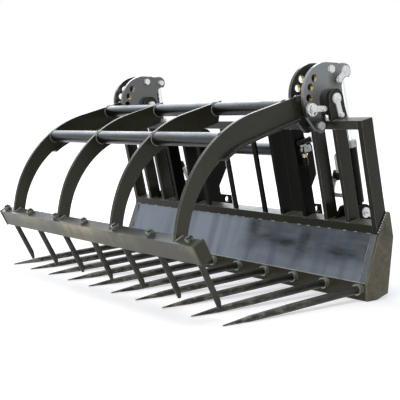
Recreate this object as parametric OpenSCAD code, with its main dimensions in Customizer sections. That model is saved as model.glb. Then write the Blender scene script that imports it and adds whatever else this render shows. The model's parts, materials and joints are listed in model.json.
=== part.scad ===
// Manure fork grapple: a tined fork with a hinged grab, two rams and a rear hitch.
// X runs across the width, -Y points along the lower tines, +Z is up.

/* [Overall] */
// Width over the two end plates
overall_w = 1500; // [1300:10:1900]
// Thickness of the end plates
end_plate_t = 8; // [6:1:12]
// Forward lean of the back frame, in degrees
frame_lean = 12.5; // [5:0.5:18]
// Distance from the front of the tine beam to the middle of the footprint
foot_y = 204.4; // [150:0.1:260]

/* [Lower tines] */
// Number of lower tines
tine_n = 10; // [6:1:12]
// Distance from the outside of an end plate to the first tine
tine_edge = 36; // [30:1:60]
// Length of a tine in front of the beam
tine_len = 590; // [400:5:700]
// Diameter of a tine at its root
tine_d = 28; // [22:1:34]
// Height of the tine axis at the front of the beam
tine_z = 37.5; // [37:0.5:40]
// Droop of the tines towards the tips, in degrees
tine_droop = 3.4; // [3.3:0.05:3.5]
// Outside diameter of the socket that holds a tine
socket_d = 38; // [36:1:38]
// Length of the socket in front of the beam
socket_nose = 16; // [8:1:22]

/* [Beam and panel] */
// Height of the tine beam
beam_h = 60; // [60:1:80]
// Depth of the tine beam
beam_d = 50; // [40:1:60]
// Wall of the tine beam
beam_wall = 6; // [4:1:8]
// Thickness of the sloped panel
panel_t = 6; // [4:1:8]

/* [Back frame] */
// Height of the lower rail's front bottom edge above the floor
rail_z = 221; // [180:1:300]
// Distance of that edge behind the front of the beam
rail_y = 57; // [50:1:75]
// Height of the back frame along its lean
frame_h = 391; // [340:1:460]
// Height of the rails across the lean
rail_h = 30; // [25:1:40]
// Depth of the rails, posts and bars
rail_d = 54; // [45:1:60]
// Wall of the rails
rail_wall = 4; // [3:1:6]
// Width of the end posts
post_w = 20; // [16:1:26]
// Width of the bars behind the tines
bar_w = 15; // [12:1:20]
// Width of the slim bars in the middle
slim_w = 20; // [16:1:30]
// Depth of the slim bars
slim_d = 10; // [8:1:14]

/* [Grab] */
// Distance from the outside of an end plate to an outer arm
arm_edge = 190; // [165:1:230]
// Thickness of the arms
arm_t = 12; // [10:1:16]
// Outer radius of the arms
arm_out_r = 437; // [433:1:441]
// How much less the inner radius of the arms is
arm_depth = 86; // [82:1:91]
// Diameter of the two cross tubes
cross_d = 48; // [40:1:52]
// Wall of the cross tubes
cross_wall = 4; // [3:1:6]
// Distance from the outside of an end plate to the end of the grab bar
bar_edge = 76; // [60:1:90]
// Height of the grab bar's front face
bar_h = 65; // [55:1:75]
// Depth of the grab bar
bar_d = 40; // [36:1:46]
// Number of grab tines
grab_tine_n = 7; // [5:1:9]
// Diameter of the grab tines
grab_tine_d = 20; // [16:1:22]
// Length of the grab tines below the bar
grab_tine_len = 176; // [120:1:178]

/* [Pivots] */
// Height of the grab pivot above the top rail
pivot_h = 71.5; // [64:0.5:80]
// Diameter of the pivot pins
pin_d = 25; // [20:1:26]
// Radius of the row of adjusting holes
index_r = 105.5; // [100:0.5:108]
// Angle between two adjusting holes, in degrees
index_step = 19.4; // [18:0.1:20]
// Thickness of the quadrant plates
quad_t = 12; // [10:1:14]
// Free space between the two quadrant plates of a pair
quad_gap = 49; // [46:1:52]
// Thickness of the ears
ear_t = 15; // [12:1:18]

/* [Rams] */
// Outside diameter of the ram barrel
barrel_d = 54; // [50:1:56]
// Bore of the ram barrel
bore_d = 44; // [40:1:45]
// Diameter of the piston rod
rod_d = 30; // [25:1:32]
// Diameter of the pin through the rod eye
rod_pin_d = 22; // [20:1:23]
// Height of the ram's base pin above the bottom of the back frame
base_pin_z = 32; // [26:1:40]

/* [Hitch] */
// Distance from the middle to a hitch plate
hitch_x = 270; // [240:1:300]
// Thickness of the hitch plates
hitch_t = 15; // [12:1:20]
// Diameter of the hitch tube that the carrier hooks under
hitch_tube_d = 50; // [42:1:52]
// Diameter of the lock-pin holes
lock_d = 26; // [20:1:30]

/* [Hidden] */
$fn = 48;

// Overrun of every cut
over = 2;
// Play of pieces that are fixed to each other
seat_gap = 0.2;
// Running fit on the radius of a pin or rod
run_gap = 0.05;
// Gap beside a moving plate
side_gap = 0.4;

// Places in the back frame, measured along its lean: [back, up]
cyl_y = 112;
rod_rise = 77.9;
pivot_up = frame_h + pivot_h;
rod_pin_up = pivot_up + rod_rise;
pivot_b = [rail_d / 2, pivot_up];
rod_b = [cyl_y, rod_pin_up];
base_b = [cyl_y, base_pin_z];

// A point of the leaning frame as [y, z]
function leaned(p) = [
    rail_y + p[0] * cos(frame_lean) - p[1] * sin(frame_lean),
    rail_z + p[0] * sin(frame_lean) + p[1] * cos(frame_lean)
];
// A point at a radius and an angle from another
function polar(c, r, a) = c + r * [cos(a), sin(a)];
// Points along an arc from angle a to angle b in n steps
function arc(c, r, a, b, n) = [for (i = [0 : n]) polar(c, r, a + (b - a) * i / n)];

pivot = leaned(pivot_b);
rod_at = leaned(rod_b);

half_w = overall_w / 2;
inner_x = half_w - end_plate_t;
tine_pitch = (overall_w - 2 * tine_edge) / (tine_n - 1);
arm_x = half_w - arm_edge;
arm_pitch = 2 * arm_x / 3;

// Tine profile
tine_cone_d = 30;
tine_cone_end_d = 24;
tine_mid_d = 26;
tine_fore_d = 20;
tine_tip_d = 4;
tine_mid_share = 0.56;
tine_fore_share = 0.82;
thread_d = 20;
nut_af = 30;
nut_h = 16;
socket_tail = 9;
thread_out = 4;
root_len = beam_d + socket_tail;

// Arm profile, with the ends of its straight tail measured from the grab pivot
tail_out_a = 16;
tail_in_a = 17.5;
tail_r = 42;
tail_out_from = [-320.85, -45.83];
tail_in_from = [-345.95, -135.14];
arm_in_r = arm_out_r - arm_depth;
tail_out = pivot + tail_out_from;
tail_in = pivot + tail_in_from;
arm_out_c = polar(tail_out, -arm_out_r, 90 + tail_out_a);
arm_in_c = polar(tail_in, -arm_in_r, 90 + tail_in_a);
tail_dir = [cos(tail_out_a), sin(tail_out_a)];
tail_in_dir = [cos(tail_in_a), sin(tail_in_a)];
tail_short = 172;
tail_in_long = 229;
front_tube_a = 125.9;
rear_tube_s = 142;
cross_r = cross_d / 2;
front_tube_at = polar(arm_out_c, arm_out_r - cross_r, front_tube_a);
rear_tube_at = tail_out + rear_tube_s * tail_dir + cross_r * [sin(tail_out_a), -cos(tail_out_a)];
flange_t = 8;
flange_w = 46;
flange_a = 127;
flange_len = 226;

// Grab bar, with its top front edge in front of the arms' outer edge
bar_tilt = 27.8;
bar_dir = [cos(bar_tilt), sin(bar_tilt)];
foot_a = 175.82;
foot_set = 10.35;
foot_out = polar(arm_out_c, arm_out_r, foot_a);
bar_at = foot_out - foot_set * bar_dir;
bar_wall = 5;
bar_cap_t = 8;
bar_cap_lip = 2;
bar_half = half_w - bar_edge;
grab_tine_edge = 42;
grab_tine_pitch = 2 * (bar_half - grab_tine_edge) / (grab_tine_n - 1);
bar_thread_d = 16;
bar_nut_af = 24;
bar_nut_h = 13;
shoulder_d = 30;
shoulder_h = 10;
washer_d = 30;
washer_t = 3;
bevel_len = 34;
bevel_a = 24;

// Quadrant plates, with places measured from the grab pivot
quad_disc_c = [-21.4, 12.1];
quad_disc_r = 110;
quad_foot = [-50.4, -91.9];
quad_foot_r = 25;
quad_boss_r = 57;
quad_lobe_r = 26;
quad_bolt = [-6, 99];
quad_notch = [82.6, 44];
quad_notch_r = 33;
index_a = 199.1;
bush_d = 30;
bolt_d = 16;
bolt_af = 24;
bolt_head = 10;
spacer_d = 26;
quad_in = quad_gap / 2;
quad_out = quad_in + quad_t;
ear_in = quad_out + 8;
ear_out = ear_in + ear_t;
ear_r = 34;

// Pins with their keeper flags
pin_head_d = 38;
pin_head_t = 8;
pin_tail = 16;
flag_w = 20;
flag_t = 5;
index_flag = 59;
rod_flag = 46;
pivot_flag = 58;
base_flag = 46;
index_flag_a = 0;
rod_flag_a = 222;
pivot_flag_a = -84;
base_flag_a = -30;
flag_bolt_af = 17;
flag_bolt_h = 7;
// Linch pins through the outer ends of the index pins
linch_d = 6;
linch_up = 8;
linch_ring_d = 5;
linch_ring_r = 20;
linch_drop = 4;

// Rams
eye_w = 40;
base_eye_r = 27;
lug_t = 12;
lug_gap = 44;
lug_r = 30;
barrel_end = 36;
barrel_floor = 46;
rod_show = 247.4;
gland_up = rod_pin_up - rod_show;
gland_h = 22;
gland_d = 58;
gland_sink = 18;
piston_h = 24;
piston_drop = 50;
rod_eye_r = 28;
// Play of the rod eye on its pin, which takes up the ram's curved path
eye_play = 6.2;
// Tilt and stretch of the ram at rest, which share that play over the travel
ram_tilt = -0.59;
ram_stretch = 2;
port_d = 20;
port_h = 12;
fitting_af = 24;
fitting_h = 11;
pipe_d = 12;
pipe_bend = 14;
hose_end_d = 18;
hose_end_len = 26;

// Hitch plates, along the frame's lean
lock_at = [176, 2];
hitch_tube_at = [130, 248];

// A side profile, drawn as [y, z], given a thickness across the width
module side(x, t) {
    translate([x, 0, 0]) rotate([90, 0, 90]) linear_extrude(t) children();
}
// The same, centred on x
module side_mid(x, t) {
    side(x - t / 2, t) children();
}
module at(p) {
    translate(p) children();
}
module placed() {
    translate([0, foot_y, 0]) children();
}
module lean() {
    placed() translate([0, rail_y, rail_z]) rotate([frame_lean, 0, 0]) children();
}
module bar_frame() {
    placed() translate([0, bar_at[0], bar_at[1]]) rotate([bar_tilt, 0, 0]) children();
}
// A cross bore or round piece along the width
module cross(p, x, l, d) {
    side(x, l) at(p) circle(d = d);
}
module box(x0, x1, y0, y1, z0, z1) {
    translate([x0, y0, z0]) cube([x1 - x0, y1 - y0, z1 - z0]);
}
module tube_x(x0, x1, y0, y1, z0, z1, wall) {
    difference() {
        box(x0, x1, y0, y1, z0, z1);
        box(x0 - over, x1 + over, y0 + wall, y1 - wall, z0 + wall, z1 - wall);
    }
}
module round_tube(p, x0, x1, d, wall) {
    difference() {
        cross(p, x0, x1 - x0, d);
        cross(p, x0 - over, x1 - x0 + 2 * over, d - 2 * wall);
    }
}
module hex_nut(af, h, hole_d) {
    difference() {
        cylinder(d = af / cos(30), h = h, $fn = 6);
        translate([0, 0, -over]) cylinder(d = hole_d, h = h + 2 * over);
    }
}
module hex_head(af, h) {
    cylinder(d = af / cos(30), h = h, $fn = 6);
}
// Along a lower tine: +Z runs from the front of the beam to the tip
module along_tine(i) {
    placed() translate([-half_w + tine_edge + i * tine_pitch, 0, tine_z])
        rotate([90 + tine_droop, 0, 0]) children();
}

// Tine beam and panel
module tine_beam() {
    color("#24241f") difference() {
        placed() tube_x(-inner_x, inner_x, 0, beam_d, 0, beam_h, beam_wall);
        for (i = [0 : tine_n - 1]) along_tine(i)
            translate([0, 0, -root_len - over])
                cylinder(d = socket_d + 2 * seat_gap, h = root_len + 2 * over + socket_nose);
    }
}
module tine_sockets() {
    color("#2b2b28") for (i = [0 : tine_n - 1]) along_tine(i) rotate_extrude() polygon([
        [tine_cone_end_d / 2 + seat_gap, -root_len],
        [socket_d / 2, -root_len],
        [socket_d / 2, socket_nose],
        [tine_cone_d / 2 + seat_gap, socket_nose]
    ]);
}
module lower_tines() {
    color("#33322e") for (i = [0 : tine_n - 1]) along_tine(i) rotate_extrude() polygon([
        [0, -root_len - nut_h - thread_out],
        [thread_d / 2, -root_len - nut_h - thread_out],
        [thread_d / 2, -root_len],
        [tine_cone_end_d / 2, -root_len],
        [tine_cone_d / 2, socket_nose],
        [tine_d / 2, socket_nose],
        [tine_mid_d / 2, tine_len * tine_mid_share],
        [tine_fore_d / 2, tine_len * tine_fore_share],
        [tine_tip_d / 2, tine_len - tine_tip_d / 2],
        [tine_tip_d / 4, tine_len],
        [0, tine_len]
    ]);
}
module lower_tine_nuts() {
    color("#2e2e2b") for (i = [0 : tine_n - 1]) along_tine(i)
        translate([0, 0, -root_len - nut_h]) hex_nut(nut_af, nut_h, thread_d + 2 * seat_gap);
}
panel_back = panel_t * 1.06;
panel_set = 2;
module sloped_panel() {
    color("#3c3e3d") placed() side(-inner_x, 2 * inner_x) polygon([
        [0, beam_h],
        leaned([panel_set, 0]),
        leaned([panel_set + panel_back, 0]),
        [panel_back, beam_h]
    ]);
}
rib_t = 10;
rib_back = 100;
rib_rise = 16;
// Ribs stand midway between two tines; gaps are counted from either end
rib_gaps = [0, 2];
module panel_rib() {
    polygon([
        [beam_d, 0],
        [rib_back * 0.75, 0],
        [rib_back, rib_rise],
        leaned([rail_d, 0]),
        leaned([panel_set + panel_back, 0]),
        [panel_back, beam_h],
        [beam_d, beam_h]
    ]);
}
module panel_ribs() {
    color("#2b2b28") placed() {
        for (s = [-1, 1]) for (i = rib_gaps)
            side_mid(s * (half_w - tine_edge - (i + 0.5) * tine_pitch), rib_t) panel_rib();
        if (tine_n % 2 == 0) side_mid(0, rib_t) panel_rib();
    }
}

// End plates, with the outline as shares of its height and depth
plate_h = 297;
plate_d = 128;
plate_nose = 4;
module end_plate(x) {
    color("#34342c") placed() side(x, end_plate_t) polygon([
        [0, 0],
        [plate_d * 0.38, 0],
        [plate_d * 0.81, plate_h * 0.055],
        [plate_d, plate_h * 0.7],
        [plate_d * 0.86, plate_h * 0.98],
        [plate_d * 0.77, plate_h],
        leaned([plate_nose, plate_nose]),
        [-plate_nose, beam_h],
        [-plate_nose, beam_h - plate_nose]
    ]);
}
module end_plate_left() {
    end_plate(-half_w);
}
module end_plate_right() {
    end_plate(inner_x);
}

// Back frame
module lower_rail() {
    color("#1f1f1b") lean()
        tube_x(-inner_x + post_w, inner_x - post_w, 0, rail_d, 0, rail_h, rail_wall);
}
module top_rail() {
    color("#1f1f1b") lean() tube_x(
        -inner_x + post_w, inner_x - post_w, 0, rail_d, frame_h - rail_h, frame_h, rail_wall
    );
}
module end_post(x) {
    color("#2c2c24") lean() box(x, x + post_w, 0, rail_d, 0, frame_h);
}
module end_post_left() {
    end_post(-inner_x);
}
module end_post_right() {
    end_post(inner_x - post_w);
}
module upright(x, w, d) {
    box(x - w / 2, x + w / 2, 0, d, rail_h, frame_h - rail_h);
}
ear_mid = ear_in + ear_t / 2;
module tower_bars() {
    color("#2c2c24") lean() for (s = [-1, 1]) for (e = [-1, 1])
        upright(s * (arm_x + e * ear_mid), ear_t, rail_d);
}
outer_bar_gap = 162;
// Tabs on the sides of the outer bars, which carry the hose couplings
tab_x = arm_x - outer_bar_gap + bar_w / 2;
tab_w = 34;
tab_t = 6;
tab_lip = 26;
tab_front = 10;
tab_back = 46;
tab_drop = 123;
tab_up = frame_h - tab_drop;
module hitch_bars() {
    color("#2c2c24") lean() for (s = [-1, 1]) {
        upright(s * (hitch_x + hitch_t / 2), bar_w, rail_d);
        difference() {
            union() {
                upright(s * (arm_x - outer_bar_gap), bar_w, rail_d);
                mirror([s < 0 ? 1 : 0, 0, 0]) {
                    box(tab_x - tab_t, tab_x + tab_w, tab_front, tab_back, tab_up, tab_up + tab_t);
                    box(tab_x + tab_w - tab_t, tab_x + tab_w, tab_front, tab_back, tab_up, tab_up + tab_lip);
                }
            }
            translate([s * coupling_at[0], coupling_at[1], tab_up - over])
                cylinder(d = coupling_d + 2 * seat_gap, h = tab_t + 2 * over);
        }
    }
}
// Screwed couplings through the tabs, with a hose end below
coupling_d = 16;
coupling_af = 22;
coupling_h = 11;
coupling_top = 8;
coupling_low = 44;
coupling_nut_h = 10;
coupling_at = [tab_x + (tab_w - tab_t) / 2, (tab_front + tab_back) / 2];
module at_couplings(up) {
    lean() for (s = [-1, 1]) translate([s * coupling_at[0], coupling_at[1], tab_up + up]) children();
}
module hose_couplings() {
    color("#c9c9c4") {
        at_couplings(tab_t) hex_head(coupling_af, coupling_h);
        at_couplings(-coupling_low)
            cylinder(d = coupling_d, h = coupling_low + tab_t + coupling_h + coupling_top);
        at_couplings(-coupling_low) cylinder(d = hose_end_d, h = hose_end_len);
    }
}
module coupling_nuts() {
    color("#c2a24c") at_couplings(-coupling_nut_h)
        hex_nut(coupling_af, coupling_nut_h, coupling_d + 2 * seat_gap);
}
slim_share = 0.656;
slim_x = hitch_x * slim_share;
module slim_bars() {
    color("#191917") lean() for (x = [-slim_x, 0, slim_x]) upright(x, slim_w, slim_d);
}

// Ears that carry the grab pivot
ear_front = 9;
ear_rear = 14;
ear_heel = 12;
module ear(x) {
    color("#2a2a26") lean() side(x, ear_t) difference() {
        polygon(concat(
            arc(pivot_b, ear_r, 0, 180, 36),
            [
                [-ear_front, frame_h + ear_heel],
                [-ear_front, frame_h + ear_heel / 2],
                [-ear_front / 2, frame_h],
                [rail_d + ear_rear, frame_h],
                [rail_d + ear_rear * 0.6, frame_h + pivot_h / 2]
            ]
        ));
        at(pivot_b) circle(d = pin_d + 2 * seat_gap);
    }
}
module ear_left_outer() {
    ear(-arm_x - ear_out);
}
module ear_left_inner() {
    ear(-arm_x + ear_in);
}
module ear_right_inner() {
    ear(arm_x - ear_out);
}
module ear_right_outer() {
    ear(arm_x + ear_in);
}

// Hitch plates, tube and lock holes
hitch_back = 200;
hitch_top = 345;
hitch_low = 26;
hitch_slant = [135, 326];
hitch_heel = [192, 265];
notch_in = 145;
notch_low = 14;
notch_z = [34, 70, 136];
module hitch_plate(x) {
    color("#24241f") lean() side(x, hitch_t) difference() {
        polygon([
            [rail_d, -hitch_low],
            [rail_d, hitch_top],
            [rail_d * 1.6, hitch_top],
            hitch_slant,
            hitch_heel,
            [hitch_back, hitch_heel[1] * 0.94],
            [hitch_back, notch_z[2]],
            [notch_in, notch_z[1]],
            [notch_in, notch_z[0]],
            [hitch_back, notch_low],
            [hitch_back, -hitch_low],
            [notch_in, -hitch_low * 1.3]
        ]);
        at(lock_at) circle(d = lock_d);
    }
}
module hitch_plate_left() {
    hitch_plate(-hitch_x - hitch_t);
}
module hitch_plate_right() {
    hitch_plate(hitch_x);
}
hitch_tube_wall = 5;
module hitch_tube() {
    color("#26262a") lean()
        round_tube(hitch_tube_at, -hitch_x, hitch_x, hitch_tube_d, hitch_tube_wall);
}

// Ram lugs and pins on the frame
lug_top = 66;
lug_low = 12;
lug_foot = 24;
module ram_lug(x) {
    side(x, lug_t) difference() {
        union() {
            at(base_b) circle(r = lug_r);
            polygon([
                [lug_foot, rail_h],
                [rail_d + lug_foot / 6, lug_top],
                [rail_d + lug_r * 0.75, lug_top],
                base_b + lug_r * [0.5, 0.87],
                base_b + [lug_r * 1.2, -lug_r * 0.9],
                base_b + [lug_r * 0.9, -lug_r - lug_low],
                [rail_d, -lug_low],
                [rail_d, rail_h]
            ]);
        }
        at(base_b) circle(d = pin_d + 2 * seat_gap);
    }
}
module ram_lugs() {
    color("#2a2a26") lean() for (s = [-1, 1]) for (e = [-1, 1])
        ram_lug(s * arm_x + e * (lug_gap + lug_t) / 2 - lug_t / 2);
}
// A pin with head, keeper flag and flag bolt; s is the side that its head points to
module flag_pin(p, s, x_mid, reach_out, reach_in, d, flag_len, flag_a, stub = pin_head_t / 2) {
    far = reach_out + flag_t;
    x_out = x_mid + s * reach_out;
    end = polar(p, flag_len, flag_a);
    side(s > 0 ? x_mid - reach_in : x_mid - far, reach_in + far) at(p) circle(d = d);
    side(s > 0 ? x_out : x_out - flag_t, flag_t) {
        at(p) circle(d = pin_head_d);
        at(end) circle(d = flag_w);
        at(p) rotate(flag_a) translate([0, -flag_w / 2]) square([flag_len, flag_w]);
    }
    side(s > 0 ? x_mid + far : x_mid - far - stub, stub) at(p) circle(d = d);
    translate([x_mid + s * far, end[0], end[1]]) rotate([0, s * 90, 0])
        hex_head(flag_bolt_af, flag_bolt_h);
}
module base_pins() {
    color("#c9c9c4") lean() for (s = [-1, 1]) flag_pin(
        base_b, s, s * arm_x, lug_gap / 2 + lug_t, lug_gap / 2 + lug_t + pin_tail,
        pin_d, base_flag, base_flag_a
    );
}
module pivot_pins() {
    color("#c9c9c4") lean() for (s = [-1, 1]) flag_pin(
        pivot_b, s, s * arm_x, ear_out, ear_out + pin_tail, pin_d, pivot_flag, pivot_flag_a
    );
}
washer_gap = ear_in - quad_out;
module pivot_washers() {
    color("#8f8f88") lean() for (s = [-1, 1]) for (e = [-1, 1]) difference() {
        cross(pivot_b, s * arm_x + e * (quad_out + washer_gap / 2) - washer_gap / 2 + side_gap,
            washer_gap - 2 * side_gap, 2 * pin_d - flag_t);
        cross(pivot_b, s * arm_x + e * (quad_out + washer_gap / 2) - washer_gap,
            2 * washer_gap, pin_d + 2 * seat_gap);
    }
}

// Grab arms
function bar_pt(y, z) = bar_at + [
    y * cos(bar_tilt) - z * sin(bar_tilt),
    y * sin(bar_tilt) + z * cos(bar_tilt)
];
// How far along u from p a line first meets a circle
function hit(c, r, p, u) = let (w = p - c, b = w * u) -b - sqrt(b * b - w * w + r * r);
foot_drop = 22;
foot_low = bar_pt(0, -foot_drop);
foot_in = foot_low + hit(arm_in_c, arm_in_r, foot_low, bar_dir) * bar_dir;
function angle_of(p, c) = let (v = c - p) 180 + atan2(v[1], v[0]);
arc_steps = 36;
// From the tail round the outer edge to the foot, over the bar and back along the inner edge
arm_outer_edge = arc(arm_out_c, arm_out_r, 90 + tail_out_a, foot_a, arc_steps);
arm_inner_edge = arc(arm_in_c, arm_in_r, angle_of(foot_in, arm_in_c), 90 + tail_in_a, arc_steps);
arm_foot = [bar_pt(bar_d, 0), bar_pt(bar_d, -foot_drop)];
module arm_shape(tail) {
    polygon(concat(arm_outer_edge, arm_foot, arm_inner_edge, tail));
}
short_tail = [
    tail_in + (tail_short + cross_r / 2) * tail_in_dir,
    tail_out + tail_short * tail_dir
];
long_tail = concat(
    [tail_in + tail_in_long * tail_in_dir],
    arc(pivot, tail_r, tail_in_a - 90, tail_out_a + 90, 36)
);
index_c = polar(pivot, index_r, index_a);
module outer_arm(x) {
    color("#26261f") placed() side_mid(x, arm_t) difference() {
        arm_shape(long_tail);
        at(pivot) circle(d = pin_d + 2 * run_gap);
        at(index_c) circle(d = pin_d + 2 * seat_gap);
    }
}
module inner_arm(x) {
    color("#26261f") placed() side_mid(x, arm_t) arm_shape(short_tail);
}
module arm_1() {
    outer_arm(-arm_x);
}
module arm_2() {
    inner_arm(-arm_x + arm_pitch);
}
module arm_3() {
    inner_arm(arm_x - arm_pitch);
}
module arm_4() {
    outer_arm(arm_x);
}
// One strip from the curve into the straight tail, set just under the arm's edge
flange_out_r = arm_in_r - seat_gap;
flange_in_r = flange_out_r - flange_t;
flange_steps = 12;
module arm_flange(x) {
    end_a = 90 + tail_in_a;
    run = flange_len * tail_in_dir;
    color("#2e2e29") placed() side_mid(x, flange_w) polygon(concat(
        arc(arm_in_c, flange_out_r, flange_a, end_a, flange_steps),
        [polar(arm_in_c, flange_out_r, end_a) + run],
        [polar(arm_in_c, flange_in_r, end_a) + run],
        arc(arm_in_c, flange_in_r, end_a, flange_a, flange_steps)
    ));
}
module arm_flange_left() {
    arm_flange(-arm_x);
}
module arm_flange_right() {
    arm_flange(arm_x);
}
module cross_tubes(p) {
    placed() for (i = [-1, 0, 1]) round_tube(
        p, (i - 0.5) * arm_pitch + arm_t / 2, (i + 0.5) * arm_pitch - arm_t / 2,
        cross_d, cross_wall
    );
}
module front_tube() {
    color("#2f3134") cross_tubes(front_tube_at);
}
module rear_tube() {
    color("#2f3134") cross_tubes(rear_tube_at);
}

// Grab bar and its tines
module grab_bar() {
    color("#4a463d") bar_frame() difference() {
        tube_x(-bar_half + bar_cap_t, bar_half - bar_cap_t, 0, bar_d, -bar_h, 0, bar_wall);
        for (i = [0 : grab_tine_n - 1])
            translate([(i - (grab_tine_n - 1) / 2) * grab_tine_pitch, bar_d / 2, -bar_h - over])
                cylinder(d = bar_thread_d + 2 * seat_gap, h = bar_h + 2 * over);
    }
}
module grab_bar_caps() {
    color("#33332b") bar_frame() for (x = [-bar_half, bar_half - bar_cap_t])
        box(x, x + bar_cap_t, -bar_cap_lip, bar_d + bar_cap_lip,
            -bar_h - bar_cap_lip, bar_cap_lip);
}
module on_grab_tines() {
    bar_frame() for (i = [0 : grab_tine_n - 1])
        translate([(i - (grab_tine_n - 1) / 2) * grab_tine_pitch, bar_d / 2, 0]) children();
}
module grab_tines() {
    color("#2d2d29") on_grab_tines() difference() {
        union() {
            translate([0, 0, -bar_h]) cylinder(
                d = bar_thread_d, h = bar_h + washer_t + bar_nut_h + thread_out
            );
            translate([0, 0, -bar_h - shoulder_h]) cylinder(
                d1 = grab_tine_d, d2 = shoulder_d, h = shoulder_h
            );
            translate([0, 0, -bar_h - grab_tine_len])
                cylinder(d = grab_tine_d, h = grab_tine_len - shoulder_h);
        }
        translate([-grab_tine_d, -grab_tine_d / 4, -bar_h - grab_tine_len - over])
            rotate([-bevel_a, 0, 0])
                cube([2 * grab_tine_d, 2 * grab_tine_d, 2 * bevel_len]);
    }
}
module grab_tine_nuts() {
    color("#26262a") on_grab_tines() {
        difference() {
            cylinder(d = washer_d, h = washer_t);
            translate([0, 0, -over]) cylinder(d = bar_thread_d + 2 * seat_gap, h = nut_h);
        }
        translate([0, 0, washer_t])
            hex_nut(bar_nut_af, bar_nut_h, bar_thread_d + 2 * seat_gap);
    }
}

// Quadrant plates
function quad(p) = pivot + p;
// The outline runs from the top over the front, the foot, the boss, the notch and the lobe
module quad_shape() {
    polygon(concat(
        arc(quad(quad_disc_c), quad_disc_r, 89, 202, 28),
        [quad(quad_disc_c) - quad_disc_r * [0.82, 0.7]],
        arc(quad(quad_foot), quad_foot_r, 225, 360, 16),
        arc(pivot, quad_boss_r, -128, 25, 24),
        arc(quad(quad_notch), quad_notch_r, 205, 86, 16),
        arc(rod_at, quad_lobe_r, -47, 90, 16)
    ));
}
module quadrant(x) {
    color("#565a5a") placed() side(x, quad_t) difference() {
        quad_shape();
        at(pivot) circle(d = pin_d + 2 * run_gap);
        at(rod_at) circle(d = rod_pin_d + 2 * seat_gap);
        at(quad(quad_bolt)) circle(d = bolt_d + 2 * seat_gap);
        at(quad(quad_foot)) circle(d = bolt_d + 2 * seat_gap);
        for (i = [0 : 3]) at(polar(pivot, index_r, index_a - i * index_step))
            circle(d = bush_d + 2 * seat_gap);
    }
}
module quadrant_left_outer() {
    quadrant(-arm_x - quad_out);
}
module quadrant_left_inner() {
    quadrant(-arm_x + quad_in);
}
module quadrant_right_inner() {
    quadrant(arm_x - quad_out);
}
module quadrant_right_outer() {
    quadrant(arm_x + quad_in);
}
module index_bushes() {
    color("#c2a24c") placed() for (s = [-1, 1]) for (e = [-1, 1]) for (i = [0 : 3])
        side_mid(s * arm_x + e * (quad_in + quad_t / 2), quad_t)
            at(polar(pivot, index_r, index_a - i * index_step)) difference() {
                circle(d = bush_d);
                circle(d = pin_d + 2 * seat_gap);
            }
}
// Upright at the outer end of each index pin
module at_linch() {
    placed() for (s = [-1, 1])
        translate([s * (arm_x + quad_out + flag_t + linch_up), index_c[0], index_c[1]])
            children();
}
module index_pins() {
    color("#dcdcd8") difference() {
        placed() for (s = [-1, 1]) flag_pin(
            index_c, s, s * arm_x, quad_out, quad_out + pin_tail, pin_d, index_flag,
            index_flag_a, linch_up + pin_head_t
        );
        at_linch() cylinder(d = linch_d + 2 * seat_gap, h = 2 * pin_d, center = true);
    }
}
// A peg through the pin, held in a ring that hangs round the pin's end
module linch_pins() {
    color("#dcdcd8") at_linch() {
        translate([0, 0, -linch_ring_r - linch_drop])
            cylinder(d = linch_d, h = 2 * linch_ring_r);
        translate([0, 0, -linch_drop]) rotate([0, 90, 0]) rotate_extrude()
            translate([linch_ring_r, 0]) circle(d = linch_ring_d, $fn = 12);
    }
}
module rod_pins() {
    color("#dcdcd8") placed() for (s = [-1, 1]) flag_pin(
        rod_at, s, s * arm_x, quad_out, quad_out + pin_tail, rod_pin_d, rod_flag, rod_flag_a
    );
}
module quadrant_bolts() {
    color("#c9c9c4") placed() for (s = [-1, 1]) for (p = [quad_bolt, quad_foot]) {
        cross(quad(p), s * arm_x - quad_out, 2 * quad_out, bolt_d);
        for (e = [-1, 1]) translate([s * arm_x + e * quad_out, quad(p)[0], quad(p)[1]])
            rotate([0, e * 90, 0]) hex_head(bolt_af, bolt_head);
    }
}
arm_side = (quad_gap - arm_t) / 2;
module quadrant_spacers() {
    color("#3a3a36") placed() for (s = [-1, 1]) {
        for (p = [quad_bolt, quad_foot]) round_tube(
            quad(p), s * arm_x - quad_in, s * arm_x + quad_in,
            spacer_d, (spacer_d - bolt_d) / 2 - seat_gap
        );
        for (e = [-1, 1]) for (p = [pivot, index_c]) {
            mid = s * arm_x + e * (arm_t + arm_side) / 2;
            difference() {
                cross(p, mid - arm_side / 2, arm_side, 2 * spacer_d - bolt_d);
                cross(p, mid - arm_side, 2 * arm_side, pin_d + 2 * (p == pivot ? run_gap : seat_gap));
            }
        }
    }
}

// Rams, drawn upright from the base pin and tilted to their rest place
module ram(s) {
    lean() translate([s * arm_x, base_b[0], base_b[1]]) rotate([ram_tilt, 0, 0]) children();
}
ram_top = gland_up - base_pin_z;
module barrel(s) {
    color("#1d1d1b") ram(s) {
        difference() {
            union() {
                side_mid(0, eye_w) circle(r = base_eye_r);
                cylinder(d = eye_w, h = barrel_end + over);
                translate([0, 0, barrel_end])
                    cylinder(d = barrel_d, h = ram_top - gland_h - barrel_end);
                for (z = [port_low, port_high])
                    translate([0, 0, z]) rotate([-90, 0, s * 90])
                        cylinder(d = port_d, h = barrel_d / 2 + port_h);
            }
            translate([0, 0, barrel_floor]) cylinder(d = bore_d, h = ram_top);
            cross([0, 0], -eye_w, 2 * eye_w, pin_d + 2 * run_gap);
        }
    }
}
// A port's fitting, drawn from the port's face outwards along +Z
module fitting() {
    hex_head(fitting_af, fitting_h);
}
module bend(r, d) {
    rotate([90, 0, 0]) rotate_extrude(angle = 90, $fn = 24) translate([r, 0]) circle(d = d);
}
port_low = barrel_floor + port_d / 2;
port_high = ram_top - gland_h - gland_sink - port_d / 2;
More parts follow.
